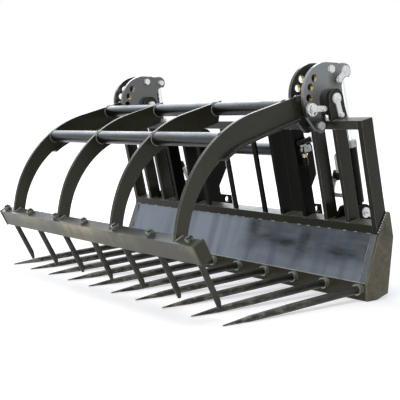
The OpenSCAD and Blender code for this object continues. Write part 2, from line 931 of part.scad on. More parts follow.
// The ports point to the middle; the upper one's pipe comes down, and both end in hose ends
module ram_pipes(s) {
    face = barrel_d / 2 + port_h + seat_gap;
    pipe_y = face + fitting_h + pipe_bend;
    pipe_low = port_low + hose_end_len;
    color("#b9bcbc") ram(s) rotate([0, 0, s * 90]) {
        for (z = [port_low, port_high]) translate([0, face, z]) rotate([-90, 0, 0]) fitting();
        translate([0, face + fitting_h - over, port_low]) rotate([-90, 0, 0])
            cylinder(d = hose_end_d, h = hose_end_len + over);
        translate([0, pipe_y - pipe_bend, port_high - pipe_bend]) rotate([0, 0, 90])
            bend(pipe_bend, pipe_d);
        translate([0, pipe_y, pipe_low]) cylinder(d = pipe_d, h = port_high - pipe_bend - pipe_low);
        translate([0, pipe_y, pipe_low]) cylinder(d = hose_end_d, h = hose_end_len);
    }
}
module ram_pipes_left() {
    ram_pipes(-1);
}
module ram_pipes_right() {
    ram_pipes(1);
}
module barrel_left() {
    barrel(-1);
}
module barrel_right() {
    barrel(1);
}
module gland(s) {
    color("#7d8283") ram(s) difference() {
        union() {
            translate([0, 0, ram_top - gland_h]) cylinder(d = gland_d, h = gland_h);
            translate([0, 0, ram_top - gland_h - gland_sink])
                cylinder(d = bore_d - 2 * seat_gap, h = gland_sink + over);
        }
        translate([0, 0, ram_top - gland_h - gland_sink - over])
            cylinder(d = rod_d + 2 * run_gap, h = gland_h + gland_sink + 2 * over);
    }
}
module gland_left() {
    gland(-1);
}
module gland_right() {
    gland(1);
}
eye_up = rod_pin_up - base_pin_z + ram_stretch;
piston_up = ram_top - gland_h - piston_drop;
module rod(s) {
    color("#b9bcbc") ram(s) difference() {
        union() {
            translate([0, 0, eye_up]) side_mid(0, eye_w) circle(r = rod_eye_r);
            translate([0, 0, piston_up]) cylinder(d = rod_d, h = eye_up - piston_up);
            translate([0, 0, piston_up - piston_h]) cylinder(d = thread_d, h = piston_h + over);
        }
        translate([0, 0, eye_up])
            cross([0, 0], -eye_w, 2 * eye_w, rod_pin_d + 2 * eye_play);
    }
}
module rod_left() {
    rod(-1);
}
module rod_right() {
    rod(1);
}
module piston(s) {
    color("#55575a") ram(s) translate([0, 0, piston_up - piston_h]) difference() {
        cylinder(d = bore_d - 2 * run_gap, h = piston_h);
        translate([0, 0, -over]) cylinder(d = thread_d + 2 * seat_gap, h = piston_h + 2 * over);
    }
}
module piston_left() {
    piston(-1);
}
module piston_right() {
    piston(1);
}

tine_beam();
tine_sockets();
lower_tines();
lower_tine_nuts();
sloped_panel();
panel_ribs();
end_plate_left();
end_plate_right();
lower_rail();
top_rail();
end_post_left();
end_post_right();
tower_bars();
hitch_bars();
slim_bars();
ear_left_outer();
ear_left_inner();
ear_right_inner();
ear_right_outer();
hitch_plate_left();
hitch_plate_right();
hitch_tube();
ram_lugs();
base_pins();
pivot_pins();
pivot_washers();
arm_1();
arm_2();
arm_3();
arm_4();
arm_flange_left();
arm_flange_right();
front_tube();
rear_tube();
grab_bar();
grab_bar_caps();
grab_tines();
grab_tine_nuts();
quadrant_left_outer();
quadrant_left_inner();
quadrant_right_inner();
quadrant_right_outer();
index_bushes();
index_pins();
rod_pins();
quadrant_bolts();
quadrant_spacers();
barrel_left();
barrel_right();
gland_left();
gland_right();
rod_left();
rod_right();
piston_left();
piston_right();
linch_pins();
ram_pipes_left();
ram_pipes_right();
hose_couplings();
coupling_nuts();
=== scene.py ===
import math
import random

import bmesh
import bpy
from mathutils import Matrix, Vector
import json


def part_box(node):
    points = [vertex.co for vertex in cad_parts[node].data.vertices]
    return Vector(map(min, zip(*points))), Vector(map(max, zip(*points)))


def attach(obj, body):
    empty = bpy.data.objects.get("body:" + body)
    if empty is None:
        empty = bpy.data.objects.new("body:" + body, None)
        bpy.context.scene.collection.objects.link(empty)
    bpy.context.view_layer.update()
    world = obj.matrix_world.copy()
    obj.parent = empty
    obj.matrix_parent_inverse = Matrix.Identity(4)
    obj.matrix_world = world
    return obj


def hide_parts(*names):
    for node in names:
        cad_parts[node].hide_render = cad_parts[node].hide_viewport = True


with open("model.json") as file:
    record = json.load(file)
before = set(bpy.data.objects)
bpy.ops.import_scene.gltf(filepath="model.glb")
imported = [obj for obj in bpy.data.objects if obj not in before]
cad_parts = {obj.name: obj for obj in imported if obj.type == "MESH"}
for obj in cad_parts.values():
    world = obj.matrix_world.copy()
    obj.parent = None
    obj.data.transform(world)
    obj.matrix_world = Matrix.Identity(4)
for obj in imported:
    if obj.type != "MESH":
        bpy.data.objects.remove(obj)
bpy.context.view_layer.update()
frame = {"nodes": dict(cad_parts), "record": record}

MM = 0.001
SIDES = (-1, 1)
X, Y, Z = range(3)
DICE = random.Random(7)

# Sizes and places that the pieces share with the part, in metres. Vectors are in the row frame, and
# heights and depths on the back frame are in the frame that leans with it.
HALF_W = 750 * MM
END_PLATE_T = 8 * MM
INNER_X = HALF_W - END_PLATE_T
FOOT_Y = 204.4 * MM
LEAN = math.radians(12.5)
RAIL = Vector((0, FOOT_Y + 57 * MM, 221 * MM))
RAIL_D = 54 * MM
RAIL_H = 30 * MM
FRAME_H = 391 * MM
HITCH_X, HITCH_T = 277.5 * MM, 15 * MM
SLIM_PITCH, SLIM_W, SLIM_D = 177 * MM, 20 * MM, 10 * MM

# The four arms, their cross tubes, the ears that carry them and the tilted bar
ARM_X = 560 * MM
ARM_COUNT = 4
ARM_PITCH = 2 * ARM_X / (ARM_COUNT - 1)
ARM_PLACES = [i * ARM_PITCH - ARM_X for i in range(ARM_COUNT)]
ARM_T = 12 * MM
TUBE_R = 24 * MM
OUTER_HITCH_X = ARM_X - 162 * MM
PIVOT_BACK, PIVOT_H = 27 * MM, 71.5 * MM
EAR_FRONT, EAR_BACK = -4.5 * MM, 68 * MM
EAR_IN, EAR_T = 44.5 * MM, 15 * MM
EAR_MID = EAR_IN + EAR_T / 2
BAR_TILT = math.radians(27.8)
BAR_AT = Vector((0, FOOT_Y - 662.1 * MM, 239.5 * MM))
BAR_D = 40 * MM

# The sloped panel, the top of the end plates' front edge and the row of lower tines
PANEL_LOW = Vector((0, FOOT_Y, 60 * MM))
PANEL_MID_Y = FOOT_Y + 30 * MM
PANEL_RUN = RAIL - PANEL_LOW
PANEL_OUT = Vector((0, -PANEL_RUN.z, PANEL_RUN.y)).normalized()
END_PLATE_TOP = Vector((0, FOOT_Y + 97.6 * MM, 297.5 * MM))
TINE_COUNT = 10
TINE_EDGE = 36 * MM
TINE_PITCH = 2 * (HALF_W - TINE_EDGE) / (TINE_COUNT - 1)
TINE_H = 37.5 * MM

# The rams: base pin from the lower rail, tilt against the frame, lugs and ports
BASE_BACK, BASE_UP = 112 * MM, 32 * MM
BASE_PIN_END = 43 * MM
RAM_TILT = math.radians(-0.59)
LUG_OUT, LUG_T, LUG_DROP = 28 * MM, 12 * MM, 10 * MM
PORT_FACE = 39.2 * MM
PORT_LOW, PORT_HIGH = 56 * MM, 211 * MM


def tilted(base, angle, x, back, up):
    """A point that is given in a frame tilted about X, in the row frame."""
    return base + Vector((
        x,
        back * math.cos(angle) - up * math.sin(angle),
        back * math.sin(angle) + up * math.cos(angle),
    ))


def leaned(x, back, up):
    """A point of the leaning back frame, from the lower rail's lower front edge."""
    return tilted(RAIL, LEAN, x, back, up)


def on_bar(x, back, up):
    """A point on the tilted grab bar, from its top front edge."""
    return tilted(BAR_AT, BAR_TILT, x, back, up)


def on_panel(x, share, out):
    """A point in front of the sloped panel, a share of the way up its slope."""
    return PANEL_LOW + PANEL_RUN * share + PANEL_OUT * out + Vector((x, 0, 0))


def on_ram(s, inward, z):
    """A point beside a ram, inward of its axis and up from its base pin."""
    return leaned(s * (ARM_X - inward), BASE_BACK - z * math.sin(RAM_TILT), BASE_UP + z * math.cos(RAM_TILT))


# Shader nodes

# The colour sockets of a Mix node, whose names it gives to other sockets too
MIX_A, MIX_B, MIX_OUT = 6, 7, 2


def node(tree, kind, inputs=None, **props):
    """Adds a shader node. A value that is a socket is linked, any other is set."""
    n = tree.nodes.new(kind)
    for key, value in props.items():
        setattr(n, key, value)
    for key, value in (inputs or {}).items():
        if isinstance(value, bpy.types.NodeSocket):
            tree.links.new(value, n.inputs[key])
        else:
            n.inputs[key].default_value = value
    return n


def new_material(name):
    m = bpy.data.materials.new(name)
    m.use_nodes = True
    m.node_tree.nodes.clear()
    return m, m.node_tree


def noise(tree, at, scale, detail=4.0, rough=0.55, distortion=0.0):
    return node(tree, "ShaderNodeTexNoise", {
        "Vector": at, "Scale": scale, "Detail": detail, "Roughness": rough, "Distortion": distortion,
    }).outputs["Fac"]


def spread(tree, value, low, high, to_low=0.0, to_high=1.0, kind="LINEAR"):
    """Maps a range of a value to another range and holds it within that."""
    return node(tree, "ShaderNodeMapRange", {
        "Value": value, "From Min": low, "From Max": high, "To Min": to_low, "To Max": to_high,
    }, interpolation_type=kind).outputs["Result"]


def solid(colour):
    """A colour of three shares as a shader takes it."""
    return (*colour, 1.0)


def blend(tree, share, a, b):
    """Mixes two colours; each is a socket or three shares."""
    a, b = (c if isinstance(c, bpy.types.NodeSocket) else solid(c) for c in (a, b))
    mix = node(tree, "ShaderNodeMix", {"Factor": share, MIX_A: a, MIX_B: b}, data_type="RGBA")
    return mix.outputs[MIX_OUT]


def maths(tree, operation, a, b):
    return node(tree, "ShaderNodeMath", {0: a, 1: b}, operation=operation, use_clamp=True).outputs[0]


def times(tree, a, b):
    return maths(tree, "MULTIPLY", a, b)


def vector(tree, operation, a, b):
    return node(tree, "ShaderNodeVectorMath", {0: a, 1: b}, operation=operation).outputs["Vector"]


def distance(tree, value):
    """The length of a vector."""
    return node(tree, "ShaderNodeVectorMath", {0: value}, operation="LENGTH").outputs["Value"]


def along(tree, value, axis):
    """One coordinate of a vector."""
    return node(tree, "ShaderNodeSeparateXYZ", {0: value}).outputs[axis]


def place(tree, stretch=(1, 1, 1), turn=0.0):
    """Object coordinates, which are metres in the row frame, turned about Y and stretched."""
    coords = node(tree, "ShaderNodeTexCoord").outputs["Object"]
    if stretch == (1, 1, 1):
        return coords
    return node(tree, "ShaderNodeMapping", {
        "Vector": coords, "Rotation": (0, turn, 0), "Scale": stretch,
    }).outputs["Vector"]


def warped(tree, scale, amount):
    """Object coordinates pushed about by noise, so that a patch gets a ragged outline."""
    at = place(tree)
    push = node(tree, "ShaderNodeTexNoise", {"Vector": at, "Scale": scale, "Detail": 2.0}).outputs["Color"]
    push = vector(tree, "MULTIPLY", vector(tree, "SUBTRACT", push, (0.5, 0.5, 0.5)), (amount,) * 3)
    return vector(tree, "ADD", at, push)


def patch_mask(tree, at, centre, size):
    """1 round a centre, fading to 0 at the rim of an ellipse."""
    off = vector(tree, "DIVIDE", vector(tree, "SUBTRACT", at, centre), size)
    return spread(tree, distance(tree, off), 1.2, 0.1, kind="SMOOTHSTEP")


def own_normal(tree):
    return node(tree, "ShaderNodeTexCoord").outputs["Normal"]


def facing_up(tree, low, high):
    """1 on faces whose own normal points up."""
    return spread(tree, along(tree, own_normal(tree), Z), low, high)


def rounded_normal(tree, radius):
    return node(tree, "ShaderNodeBevel", {"Radius": radius}, samples=4).outputs["Normal"]


def edge_mask(tree, soft):
    """1 on sharp edges and 0 on flats, from how far a rounded normal leans off the true one."""
    true = node(tree, "ShaderNodeNewGeometry").outputs["True Normal"]
    dot = node(tree, "ShaderNodeVectorMath", {0: soft, 1: true}, operation="DOT_PRODUCT").outputs["Value"]
    return spread(tree, dot, 0.995, 0.85)


def bump(tree, height, normal, strength, depth):
    return node(tree, "ShaderNodeBump", {
        "Height": height, "Normal": normal, "Strength": strength, "Distance": depth,
    }).outputs["Normal"]


def surface(tree, colour, rough, normal, metallic=0.0, **sockets):
    """The shader of a material; further sockets are named with underscores for spaces."""
    shader = node(tree, "ShaderNodeBsdfPrincipled", {
        "Base Color": colour, "Roughness": rough, "Metallic": metallic, "Normal": normal,
    })
    for key, value in sockets.items():
        shader.inputs[key.replace("_", " ")].default_value = value
    node(tree, "ShaderNodeOutputMaterial", {"Surface": shader.outputs[0]})


# Kinds of material

# Silt, which on upward faces also stands for painted top light, and a dark tone for painted shade
SILT_AND_TOP_LIGHT = (0.15, 0.145, 0.118)
PAINTED_SHADE = (0.012, 0.012, 0.01)
FLAKE = (0.26, 0.245, 0.2)
EDGE_R, WIDE_EDGE_R, PLATE_EDGE_R = 1.6 * MM, 1.9 * MM, 3.5 * MM


def paint(name, colour, worn, edge, rough, patch=2.5, dust=0.35, coat=0.05, shine=0.16, edge_r=EDGE_R,
          top_cover_amount=0.45, lies=(0.8, 0.97), top_dust_and_sheen=SILT_AND_TOP_LIGHT, rising=0.0, shadow_patches=(), shade_heights=None):
    """Machine paint: cloudy tone, orange peel, dust and painted top light on top faces, and lighter edges
    that are worn paint and a painted edge highlight.

    settled is how much of the top colour silt, dust and painted top light, lies on faces whose upward share
    is past lies, and rising how much dust is near the foot of the grab. Each of stains is (y, z, reach) of a
    patch of painted shadow, and fade is the pair of heights between which painted shade turns the paint dark.
    """
    m, tree = new_material(name)
    at = place(tree)
    height = along(tree, at, Z)
    soft = rounded_normal(tree, edge_r)
    cloud = spread(tree, noise(tree, at, patch, 6.0, 0.6, 0.4), 0.35, 0.7)
    fine = spread(tree, noise(tree, at, 55.0, 5.0, 0.7), 0.42, 0.75)
    tone = blend(tree, times(tree, cloud, dust), colour, worn)
    tone = blend(tree, times(tree, fine, dust * 0.6), tone, worn)
    if rising:
        foot = times(tree, spread(tree, height, 0.62, 0.26, 0.0, rising),
                     spread(tree, noise(tree, at, 9.0, 5.0, 0.65), 0.3, 0.65, 0.4, 1.0))
        tone = blend(tree, foot, tone, SILT_AND_TOP_LIGHT)
    # Patches of painted shadow, and painted shade that darkens the paint downward between two heights
    for y, z, reach in shadow_patches:
        shadow_patch = patch_mask(tree, at, (0, y, z), (9.0, reach, reach))
        tone = blend(tree, shadow_patch, tone, PAINTED_SHADE)
    if shade_heights:
        tone = blend(tree, spread(tree, height, *shade_heights, 0.0, 0.9), tone, PAINTED_SHADE)
    # Dust and painted top light on faces that look up
    top_cover = spread(tree, noise(tree, at, 14.0, 5.0, 0.6), 0.3, 0.65, 0.25 * top_cover_amount, top_cover_amount)
    tone = blend(tree, times(tree, facing_up(tree, *lies), top_cover), tone, top_dust_and_sheen)
    # Lighter edges: worn chips and a painted edge highlight
    chips = spread(tree, noise(tree, at, 18.0, 3.0), 0.3, 0.65, 0.35, 1.0)
    tone = blend(tree, times(tree, edge_mask(tree, soft), chips), tone, edge)
    gloss = spread(tree, noise(tree, at, 9.0), 0.3, 0.7, rough * 0.75, rough * 1.35)
    peel = bump(tree, noise(tree, at, 420.0, 2.0), soft, 0.12, 0.2 * MM)
    surface(tree, tone, gloss, peel, Coat_Weight=coat, Coat_Roughness=0.12, Specular_IOR_Level=shine)
    return m


def forged(name, colour, light, rough, tips=0.0):
    """Dark forged steel with scale, dents, rubbed high spots, and a silty tone with painted top light on
    upward faces; tips lightens the front of long tines.
    """
    m, tree = new_material(name)
    at = place(tree)
    forward = along(tree, at, Y)
    soft = rounded_normal(tree, 1.2 * MM)
    scale = spread(tree, noise(tree, at, 30.0, 6.0, 0.7, 0.6), 0.4, 0.68)
    streak = spread(tree, noise(tree, place(tree, (6, 1, 6)), 14.0, 5.0, 0.65), 0.45, 0.75)
    tone = blend(tree, scale, colour, light)
    tone = blend(tree, times(tree, streak, 0.5), tone, [c * 1.7 for c in light])
    tone = blend(tree, times(tree, edge_mask(tree, soft), 0.6), tone, [c * 2.4 for c in light])
    # A silty tone and painted top light on faces that look up, more toward the front
    top_cover = spread(tree, forward, 0.1, -0.25, 0.12, 0.6)
    tone = blend(tree, times(tree, facing_up(tree, 0.45, 0.95), top_cover), tone, SILT_AND_TOP_LIGHT)
    front = spread(tree, forward, 0.05, -0.3, 0.0, tips)
    flakes = spread(tree, noise(tree, place(tree, (2.4, 1, 2.4)), 22.0, 6.0, 0.7), 0.46, 0.56)
    tone = blend(tree, times(tree, front, flakes), tone, FLAKE)
    dents = maths(tree, "ADD", noise(tree, at, 90.0), noise(tree, at, 22.0, 2.0))
    gloss = spread(tree, scale, 0.0, 1.0, rough * 0.8, rough * 1.2)
    surface(tree, tone, gloss, bump(tree, dents, soft, 0.45, 0.8 * MM), metallic=0.35)
    return m


def plated(name, colour, stain, rough, metallic=1.0, grain=240.0, ends=None):
    """Plated or machined metal with fine lines and small stain spots; ends is a colour over faces along X."""
    m, tree = new_material(name)
    at = place(tree)
    spots = spread(tree, noise(tree, at, 45.0, 5.0, 0.65), 0.5, 0.8)
    tone = blend(tree, spots, colour, stain)
    if ends:
        across = maths(tree, "ABSOLUTE", along(tree, own_normal(tree), X), 0.0)
        tone = blend(tree, spread(tree, across, 0.8, 0.95), tone, ends)
    lines = noise(tree, at, grain, 3.0)
    gloss = spread(tree, lines, 0.3, 0.7, rough * 0.8, rough * 1.25)
    skin = bump(tree, lines, rounded_normal(tree, 0.8 * MM), 0.12, 0.1 * MM)
    surface(tree, tone, gloss, skin, metallic=metallic)
    return m


# The grab bar: rubbed patches as x, half length in metres and how far the paint is gone, and a dull place
BAR_PATCHES = [(-0.42, 0.16, 0.7), (-0.03, 0.27, 1.0), (0.68, 0.07, 0.35)]
BAR_DULL_X, BAR_DULL_HALF = 0.43, 0.17
BAR_PAINT, BAR_BARE = (0.07, 0.063, 0.042), (0.56, 0.49, 0.34)
# Grime, a painted sky reflection for the top face, and an edge colour of wear and painted edge highlight
BAR_GRIME, BAR_TOP_SKY, BAR_EDGE = (0.05, 0.046, 0.036), (0.05, 0.054, 0.055), (0.34, 0.34, 0.32)
BAR_STROKE_TURN = math.radians(38)


def rubbed_bar(name):
    """The grab bar: paint rubbed through to a warm grey in cloudy patches, darker toward its lower edge, with
    a painted sky reflection on its top face.
    """
    m, tree = new_material(name)
    at = place(tree, (1, 2.2, 2.2))
    soft = rounded_normal(tree, EDGE_R)
    rubbed = spread(tree, noise(tree, at, 4.2, 7.0, 0.62, 0.3), 0.4, 0.66, 0.0, 0.75)
    ragged = warped(tree, 14.0, 0.1)
    for x, half, level in BAR_PATCHES:
        worn = patch_mask(tree, ragged, (x, BAR_AT.y, BAR_AT.z), (half, 1.0, 0.2))
        rubbed = maths(tree, "MAXIMUM", rubbed, times(tree, worn, level))
    dull = patch_mask(tree, ragged, (BAR_DULL_X, BAR_AT.y, BAR_AT.z), (BAR_DULL_HALF, 1.0, 1.0))
    rubbed = times(tree, rubbed, spread(tree, dull, 0.0, 0.8, 1.0, 0.1))
    turned = place(tree, (24, 1, 5), BAR_STROKE_TURN)
    strokes = spread(tree, noise(tree, turned, 1.0, 4.0, 0.6, 0.9), 0.36, 0.62, 0.5, 1.0)
    upper = spread(tree, along(tree, place(tree), Z), BAR_AT.z - 36 * MM, BAR_AT.z - 6 * MM, 0.3, 1.0)
    rubbed = times(tree, times(tree, rubbed, strokes), upper)
    small = spread(tree, noise(tree, at, 48.0, 6.0, 0.7), 0.4, 0.7)
    top = facing_up(tree, 0.7, 0.85)
    tone = blend(tree, rubbed, BAR_PAINT, BAR_BARE)
    tone = blend(tree, times(tree, small, 0.4), tone, BAR_GRIME)
    # A painted sky reflection on the top face
    tone = blend(tree, times(tree, top, 0.85), tone, BAR_TOP_SKY)
    tone = blend(tree, times(tree, edge_mask(tree, soft), 0.7), tone, BAR_EDGE)
    gloss = maths(tree, "SUBTRACT", spread(tree, rubbed, 0.0, 1.0, 0.36, 0.5), times(tree, top, 0.12))
    surface(tree, tone, gloss, bump(tree, small, soft, 0.2, 0.3 * MM), Specular_IOR_Level=0.35)
    return m


# The sloped panel: painted dark reflections as centre and half size, x and z in metres, and the places of two
# wide wipes
PANEL_DARK_REFLECTIONS = [
    ((0.135, 0.200), (0.080, 0.085)),
    ((0.280, 0.150), (0.260, 0.050)),
    ((0.400, 0.165), (0.085, 0.110)),
    ((0.600, 0.150), (0.220, 0.050)),
    ((0.725, 0.170), (0.050, 0.080)),
]
PANEL_WIPES = (-0.125, 0.258)
# The pale film is dust and a painted sky reflection; the edge colour is wear and a painted edge highlight
PANEL_FILM_AND_SKY, PANEL_BLACK = (0.3, 0.345, 0.4), (0.014, 0.016, 0.013)
PANEL_WIPED, PANEL_EDGE = (0.06, 0.085, 0.145), (0.45, 0.46, 0.43)
PANEL_WIPE_TURN = math.radians(-24)


def panel_film_and_reflections(tree):
    """How far the pale film, dust and painted sky reflection, gives way to the black: more to the right and
    up, in painted dark reflections shaped as clouds, with level bands.
    """
    at = warped(tree, 5.0, 0.07)
    side = times(tree, spread(tree, along(tree, at, X), 0.03, 0.16, 0.0, 0.7, kind="SMOOTHSTEP"),
                 spread(tree, along(tree, at, Z), 0.085, 0.14, 0.4, 1.0, kind="SMOOTHSTEP"))
    loose = spread(tree, noise(tree, place(tree, (1.6, 1, 1)), 2.6), 0.5, 0.75, 0.0, 0.25)
    cloud = maths(tree, "ADD", side, loose)
    # Painted reflections of darker things, shaped as dark clouds
    for (x, z), (wide, high) in PANEL_DARK_REFLECTIONS:
        dark = patch_mask(tree, at, (x, PANEL_MID_Y, z), (wide, 1.0, high))
        cloud = maths(tree, "MAXIMUM", cloud, times(tree, dark, 0.95))
    bands = spread(tree, noise(tree, place(tree, (2.5, 1, 11)), 4.0), 0.4, 0.62, 0.82, 1.0)
    return times(tree, cloud, bands)


def panel_wipes(tree):
    """Slanting wipe marks: thin ones from noise and the wide ones in their places."""
    turned = place(tree, (9, 1, 0.7), PANEL_WIPE_TURN)
    wipes = spread(tree, noise(tree, turned, 2.2, 3.0, 0.5), 0.52, 0.7)
    for x in PANEL_WIPES:
        band = patch_mask(tree, warped(tree, 9.0, 0.02), (x, PANEL_MID_Y, 0.14), (0.022, 1.0, 0.22))
        wipes = maths(tree, "MAXIMUM", wipes, times(tree, band, 1.9))
    return wipes


def streaked_panel(name):
    """The sloped panel: a grey-blue film of dust and painted sky reflection over black paint, painted dark
    reflections as darker clouds, and slanting wipe marks.
    """
    m, tree = new_material(name)
    soft = rounded_normal(tree, EDGE_R)
    tone = blend(tree, panel_film_and_reflections(tree), PANEL_FILM_AND_SKY, PANEL_BLACK)
    tone = blend(tree, times(tree, panel_wipes(tree), 0.35), tone, PANEL_WIPED)
    tone = blend(tree, edge_mask(tree, soft), tone, PANEL_EDGE)
    gloss = spread(tree, noise(tree, place(tree), 35.0, 3.0), 0.3, 0.7, 0.28, 0.38)
    surface(tree, tone, gloss, soft, Specular_IOR_Level=0.14)
    return m


# Paints: the colour, the worn colour and the colour of the edges, which is edge wear and a painted edge
# highlight

BLACK = paint(
    "black_paint", (0.0165, 0.0165, 0.0085), (0.036, 0.034, 0.02), (0.4, 0.41, 0.4),
    rough=0.27, edge_r=WIDE_EDGE_R,
)
# The rails, where dust and painted top light lie on top
DUSTY_LIT = paint(
    "dusty_lit_paint", (0.016, 0.016, 0.008), (0.042, 0.04, 0.025), (0.4, 0.41, 0.38),
    rough=0.3, coat=0.0, top_cover_amount=0.95,
)
UPPER = paint(
    "top_rail_paint", (0.02, 0.02, 0.01), (0.046, 0.044, 0.028), (0.4, 0.41, 0.38),
    rough=0.3, coat=0.08, shine=0.34, top_cover_amount=1.0,
)
# Bars and plates deep in the frame, which the sky hardly reaches
DEEP = paint(
    "shaded_paint", (0.003, 0.003, 0.0018), (0.011, 0.0105, 0.0065), (0.12, 0.12, 0.11),
    rough=0.34, coat=0.0, shine=0.06,
)
# The arms, with silt toward their feet
ARM = paint(
    "arm_paint", (0.017, 0.017, 0.009), (0.042, 0.04, 0.024), (0.4, 0.41, 0.4),
    rough=0.27, edge_r=WIDE_EDGE_R, rising=0.3,
)
# A lighter copy of the arm paint for the near arm, painted light
LIT_ARM = paint(
    "lit_arm_paint", (0.029, 0.03, 0.018), (0.07, 0.07, 0.048), (0.45, 0.46, 0.45),
    rough=0.27, shine=0.2, edge_r=WIDE_EDGE_R, rising=0.15,
)
# The cross tubes, with a bluish top colour on their upper half, dust and a painted sky reflection
TUBE = paint(
    "tube_paint", (0.003, 0.003, 0.0026), (0.012, 0.0125, 0.011), (0.3, 0.31, 0.3),
    rough=0.3, coat=0.0, shine=0.5, top_cover_amount=0.85, lies=(0.1, 0.65), top_dust_and_sheen=(0.14, 0.17, 0.2),
)
# Painted welds
SEAM = paint(
    "seam_paint", (0.02, 0.02, 0.016), (0.05, 0.05, 0.045), (0.5, 0.5, 0.48),
    rough=0.16, coat=0.7, shine=0.5,
)
# The quadrant plates; the right outer one is the palest, with painted shadow round its pins and painted shade
# darkening its lower part. The other three take darker copies of the paint, painted shade.
QUAD_SHADOWS = [(0.207, 0.744, 0.036), (0.12, 0.665, 0.075)]
QUAD_SHADE_HEIGHTS = (0.68, 0.64)
QUAD = paint(
    "quadrant_paint", (0.27, 0.297, 0.297), (0.16, 0.18, 0.177), (0.5, 0.52, 0.52),
    rough=0.12, coat=0.5, shine=0.5, shadow_patches=QUAD_SHADOWS, shade_heights=QUAD_SHADE_HEIGHTS,
)
# A darker copy of the quadrant paint for plates in the shade of others, painted shade
QUAD_SHADED = paint(
    "shaded_quadrant_paint", (0.045, 0.05, 0.047), (0.035, 0.038, 0.035), (0.45, 0.46, 0.45),
    rough=0.14, coat=0.4, shine=0.4,
)
# A less dark copy of the quadrant paint, painted shade
QUAD_FAR_SHADED = paint(
    "far_shaded_quadrant_paint", (0.11, 0.12, 0.115), (0.07, 0.078, 0.074), (0.45, 0.46, 0.45),
    rough=0.12, coat=0.6, shine=0.5,
)
# End plates, strips, beam and rams
PLATE = paint(
    "end_plate_paint", (0.062, 0.06, 0.037), (0.26, 0.23, 0.15), (0.45, 0.45, 0.39),
    rough=0.34, patch=5.0, dust=0.75, shine=0.2, edge_r=PLATE_EDGE_R,
)
STRIP = paint(
    "strip_paint", (0.1, 0.115, 0.13), (0.24, 0.25, 0.25), (0.5, 0.5, 0.47),
    rough=0.3, patch=14.0, dust=0.6, shine=0.2,
)
BEAM = paint(
    "beam_paint", (0.037, 0.036, 0.021), (0.078, 0.073, 0.046), (0.3, 0.3, 0.26),
    rough=0.34, shine=0.2,
)
RAM = paint(
    "ram_paint", (0.005, 0.005, 0.003), (0.013, 0.0125, 0.009), (0.14, 0.14, 0.13),
    rough=0.28, coat=0.0, shine=0.08, top_cover_amount=0.2,
)

PANEL = streaked_panel("panel_paint")
BAR = rubbed_bar("bar_paint")

# Bare metals: the colour and the colour of scale or stains
TINE = forged("forged_steel", (0.005, 0.005, 0.0038), (0.03, 0.0285, 0.022), rough=0.4, tips=0.7)
GRAB_TINE = forged("grab_tine_steel", (0.014, 0.0135, 0.009), (0.05, 0.048, 0.036), rough=0.45)
NUT = plated("nut_steel", (0.15, 0.15, 0.14), (0.035, 0.035, 0.03), rough=0.22, metallic=0.9, grain=160.0)
SOCKET = plated(
    "socket_steel", (0.46, 0.45, 0.41), (0.07, 0.067, 0.052), rough=0.24, metallic=0.65, grain=90.0,
)
BEAD = plated("bare_bead", (0.42, 0.42, 0.39), (0.12, 0.12, 0.1), rough=0.34, metallic=0.6, grain=90.0)
ZINC = plated("zinc", (0.86, 0.87, 0.87), (0.7, 0.71, 0.69), rough=0.3, metallic=0.4)
BRASS = plated("brass", (0.78, 0.6, 0.28), (0.5, 0.36, 0.14), rough=0.25)
BUSH = plated("brass_bush", (0.6, 0.45, 0.2), (0.3, 0.21, 0.09), rough=0.3, ends=(0.13, 0.14, 0.135))
GLAND = plated("gland_steel", (0.3, 0.33, 0.35), (0.16, 0.17, 0.18), rough=0.35)
PIPE = plated("pipe_steel", (0.62, 0.63, 0.6), (0.4, 0.4, 0.36), rough=0.32, metallic=0.7)
CHROME = plated("chrome_rod", (0.8, 0.82, 0.84), (0.66, 0.68, 0.7), rough=0.08, grain=500.0)

SLOT_MATERIAL = {
    "black_paint": BLACK, "panel_paint": PANEL, "bar_paint": BAR, "forged_steel": TINE, "nut_steel": NUT,
    "quadrant_paint": QUAD, "zinc": ZINC, "brass_bush": BUSH, "ram_paint": RAM, "gland_steel": GLAND,
    "chrome_rod": CHROME, "pipe_steel": PIPE,
}
NODE_MATERIAL = {
    "arm_1": ARM, "arm_2": ARM, "arm_3": ARM, "arm_4": LIT_ARM,
    "front_tube": TUBE, "rear_tube": TUBE, "hitch_tube": TUBE,
    "grab_bar_caps": BEAM, "grab_tines": GRAB_TINE,
    "quadrant_left_outer": QUAD_SHADED, "quadrant_left_inner": QUAD_FAR_SHADED, "quadrant_right_inner": QUAD_SHADED,
    "tine_beam": BEAM, "tine_sockets": SOCKET, "end_plate_left": PLATE, "end_plate_right": PLATE,
    "lower_rail": DUSTY_LIT, "top_rail": UPPER, "hitch_bars": DEEP, "slim_bars": DEEP,
    "hitch_plate_left": DEEP, "hitch_plate_right": DEEP, "ram_lugs": DEEP, "coupling_nuts": BRASS,
}


def dress(obj, material):
    obj.data.materials.clear()
    obj.data.materials.append(material)


for entry in frame["record"]["subparts"]:
    name = entry["node"]
    dress(frame["nodes"][name], NODE_MATERIAL.get(name, SLOT_MATERIAL[entry["material_slot"]]))


# Meshes

def finish_mesh(bm, name):
    bmesh.ops.recalc_face_normals(bm, faces=bm.faces)
    mesh = bpy.data.meshes.new(name)
    bm.to_mesh(mesh)
    bm.free()
    return mesh


def piece(name, bm, material, body, smooth=False):
    """Turns a bmesh into an object that rides a body."""
    mesh = finish_mesh(bm, name)
    obj = bpy.data.objects.new(name, mesh)
    bpy.context.scene.collection.objects.link(obj)
    dress(obj, material)
    if smooth:
        mesh.polygons.foreach_set("use_smooth", [True] * len(mesh.polygons))
    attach(obj, body)
    return obj


def in_mm(pairs):
    return [(a * MM, b * MM) for a, b in pairs]


def square_axes(axis):
    """Two unit vectors square to an axis and to each other."""
    a = axis.orthogonal().normalized()
    return a, axis.normalized().cross(a)


